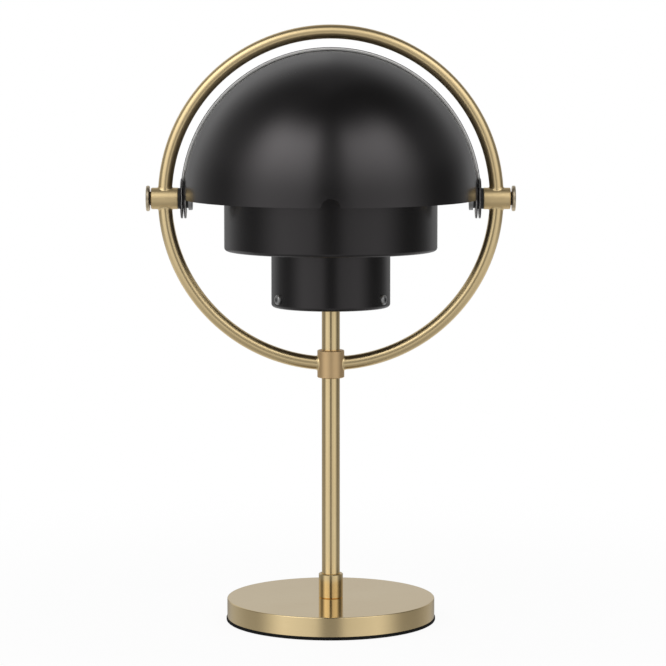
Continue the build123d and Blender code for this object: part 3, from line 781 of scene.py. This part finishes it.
# A tall soft panel each side of the camera
GAP_EDGE = (5.0, 18.0)  # turns of the panels' near edges
PANEL_EDGE = (50.0, 90.0)  # and of their far edges
PANEL_LOW = (-0.5, -0.1, 0.5, 0.76)  # by height
PANEL_HIGH = (0.08, 0.72, 0.0, 1.35)  # added to it, by height
PANEL_TOP = (0.7, 0.94, 1.0, 0.04)  # share left, by height
PANEL_RIGHT = (-0.2, 0.02, 0.96, 0.77)  # share of the right panel, by height
PANEL_OUTWARD = (15.0, 55.0, 0.88, 1.1)  # share by turn

# Dimmer where there is no panel
SIDE_START = (15.0, 60.0)  # turns
SIDE_END = (100.0, 140.0, 1.0, 0.0)  # share by turn
SIDE_LEFT = 0.09
SIDE_RIGHT = 0.02
DIM_RISE = (0.15, 0.4, 0.07, 0.16)  # by height
DIM_TOP = (0.55, 0.88, 1.0, 0.28)  # share left, by height
GROUND_EDGE = (-0.4, -0.1)  # heights over which the pale ground passes into the dim part
GROUND = 0.62
UNDER = (-0.8, -0.35, 0.6, 1.0)  # share of all this that is left, by height

# Pale backdrop
BACKDROP_EDGE = (95.0, 145.0)  # turns
BACKDROP_LEAN = (0.3, 0.6, 0.0, 16.0)  # degrees that its edge moves back, by height
BACKDROP_LEAN_RIGHT = 7.0
BACKDROP_FOOT = (-0.16, -0.03, 0.4, 1.0)  # share by height
BACKDROP_RISE = (0.02, 0.25)  # heights over which it passes into its upper part
BACKDROP_LEVEL = 0.39
BACKDROP_UPPER_LEFT = 0.46
BACKDROP_UPPER_RIGHT = 0.27
BACKDROP_TOP = (0.64, 0.96, 1.0, 0.05)  # share left, by height
BACKDROP_FAR = (0.8, 0.94, 1.0, 0.42)  # share by depth
MIDDLE_FAR = (0.95, 0.97)  # depths where its bright middle starts, straight behind
MIDDLE_TOP = (0.26, 0.34, 1.0, 0.0)  # share of the middle left, by height

DIFFUSE_FILL = 0.4  # even light that only matt surfaces take, so that pale ones look pale
BACKDROP_SHARE = 0.12  # of the plain white background that metal shows


def light_ahead(tree, z, away, right):
    """Strength of the two panels, and of the dim surroundings and pale ground outside them."""
    panel = tree.times(
        tree.soft_ramp(away, *GAP_EDGE),
        tree.soft_ramp(away, *PANEL_EDGE, 1.0, 0.0),
    )
    bright = tree.times(
        tree.add(tree.soft_ramp(z, *PANEL_LOW), tree.soft_ramp(z, *PANEL_HIGH)),
        tree.soft_ramp(z, *PANEL_TOP),
        tree.blend(right, 1.0, tree.ramp(z, *PANEL_RIGHT)),
        tree.ramp(away, *PANEL_OUTWARD),
    )
    side = tree.times(
        tree.ramp(away, *SIDE_START),
        tree.blend(right, SIDE_LEFT, SIDE_RIGHT),
        tree.ramp(away, *SIDE_END),
    )
    around = tree.times(tree.soft_ramp(z, *DIM_RISE), tree.soft_ramp(z, *DIM_TOP))
    dim = tree.soft_ramp(z, *GROUND_EDGE, GROUND, tree.add(side, around))
    return tree.times(tree.blend(panel, dim, bright), tree.soft_ramp(z, *UNDER))


def light_behind(tree, y, z, away, right):
    """Shape of the backdrop, and its strength."""
    lean = tree.add(tree.ramp(z, *BACKDROP_LEAN), tree.blend(right, 0.0, BACKDROP_LEAN_RIGHT))
    shape = tree.times(
        tree.soft_ramp(tree.math("SUBTRACT", away, lean), *BACKDROP_EDGE),
        tree.soft_ramp(z, *BACKDROP_FOOT),
    )
    upper = tree.blend(right, BACKDROP_UPPER_LEFT, BACKDROP_UPPER_RIGHT)
    level = tree.times(
        tree.soft_ramp(z, *BACKDROP_RISE, BACKDROP_LEVEL, upper),
        tree.soft_ramp(z, *BACKDROP_TOP),
        tree.soft_ramp(y, *BACKDROP_FAR),
    )
    middle = tree.times(tree.soft_ramp(y, *MIDDLE_FAR), tree.soft_ramp(z, *MIDDLE_TOP))
    return shape, tree.times(shape, tree.blend(middle, level, BACKDROP_LEVEL))


def make_world():
    """Studio round the lamp, and plain white where the camera looks past it."""
    world = bpy.data.worlds.new("studio")
    bpy.context.scene.world = world
    world.use_nodes = True
    tree = Tree(world.node_tree)
    x, y, z = tree.separate(tree.node("ShaderNodeTexCoord").outputs["Generated"])
    turn = tree.math("DEGREES", tree.math("ARCTAN2", x, tree.times(y, -1.0)))
    away = tree.math("ABSOLUTE", turn)
    right = tree.ramp(turn, *RIGHT_EDGE)
    backdrop, behind = light_behind(tree, y, z, away, right)

    path = tree.node("ShaderNodeLightPath").outputs
    fill = tree.times(path["Is Diffuse Ray"], DIFFUSE_FILL)
    studio = world.node_tree.nodes["Background"]
    studio.inputs["Color"].default_value = colour(1, 1, 1)
    strength = tree.add(light_ahead(tree, z, away, right), behind, fill)
    tree.put(studio.inputs["Strength"], strength)
    white = tree.node("ShaderNodeBackground")
    white.inputs["Color"].default_value = colour(1, 1, 1)
    mirrored = tree.add(path["Is Glossy Ray"], path["Is Transmission Ray"])
    mirrored = tree.times(mirrored, backdrop, BACKDROP_SHARE)
    seen = tree.math("ADD", path["Is Camera Ray"], mirrored, clamp=True)
    blend = tree.node("ShaderNodeMixShader")
    tree.put(blend.inputs[0], seen)
    tree.put(blend.inputs[1], studio.outputs[0])
    tree.put(blend.inputs[2], white.outputs[0])
    tree.put(world.node_tree.nodes["World Output"].inputs["Surface"], blend.outputs[0])


def make_camera():
    data = bpy.data.cameras.new("camera")
    data.sensor_width = CAMERA_SENSOR
    data.lens = CAMERA_LENS
    camera = bpy.data.objects.new("camera", data)
    camera.location = CAMERA_PLACE
    camera.rotation_euler = (math.pi / 2 - CAMERA_PITCH, 0, 0)
    bpy.context.scene.collection.objects.link(camera)
    bpy.context.scene.camera = camera


make_floor()
make_world()
make_camera()
bpy.context.scene.view_settings.view_transform = "Standard"
